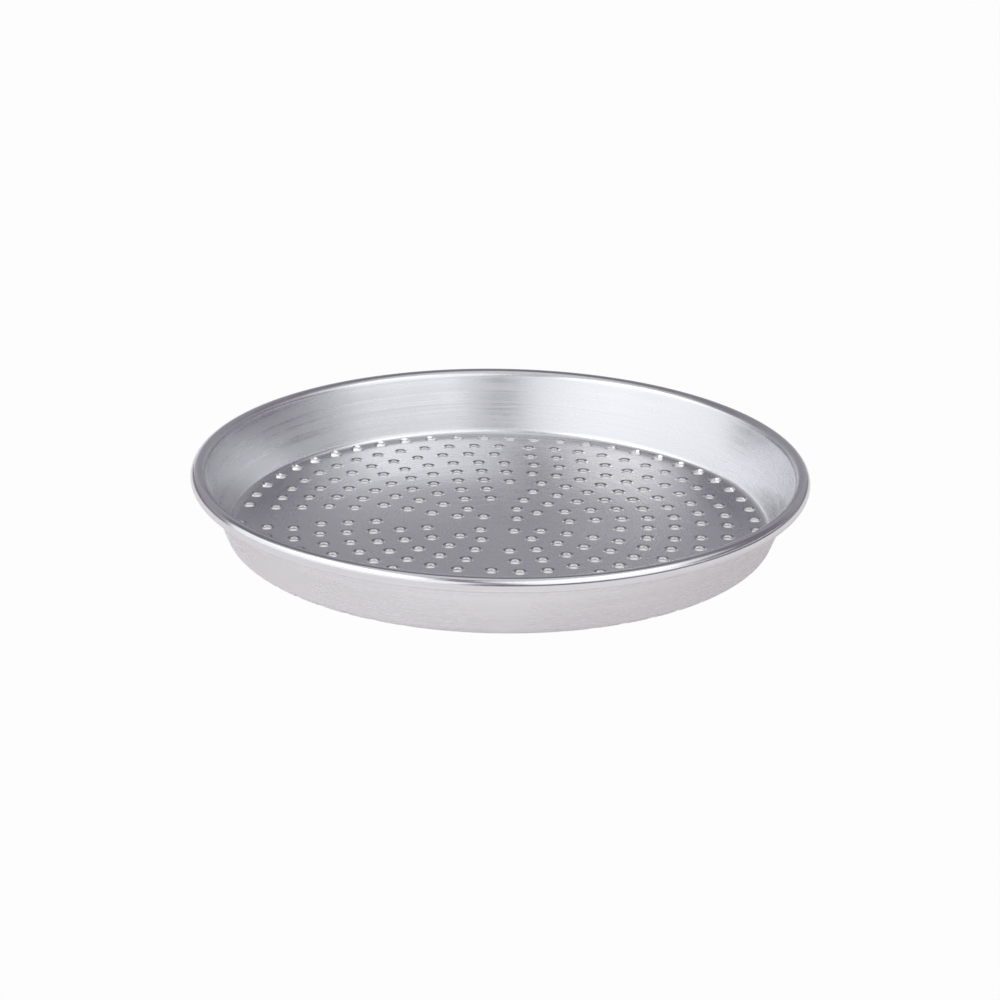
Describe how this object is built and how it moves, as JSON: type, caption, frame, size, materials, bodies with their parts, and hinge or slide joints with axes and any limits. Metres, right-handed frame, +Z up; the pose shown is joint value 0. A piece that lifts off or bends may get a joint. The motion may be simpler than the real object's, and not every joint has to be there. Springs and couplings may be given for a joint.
{
  "type": "pizza pan",
  "caption": "Shallow round pizza pan of perforated aluminium sheet, with a flared wall and a rolled rim stiffened by a wire.",
  "frame": {"origin": "centre of the floor's underside, on the surface that the pan stands on", "axes": "+Z up along the pan's axis, out of its open top; X and Y lie along the plain gaps between the quarters of the hole pattern"},
  "size_m": [0.3199, 0.32, 0.036],
  "materials": {
    "spun_aluminium": "satin, with fine spinning lines round the pan",
    "steel_wire": "drawn wire, closed in and unseen"
  },
  "bodies": {
    "root": {"pan_shell": "spun_aluminium", "rim_wire": "steel_wire"}
  },
  "joints": []
}
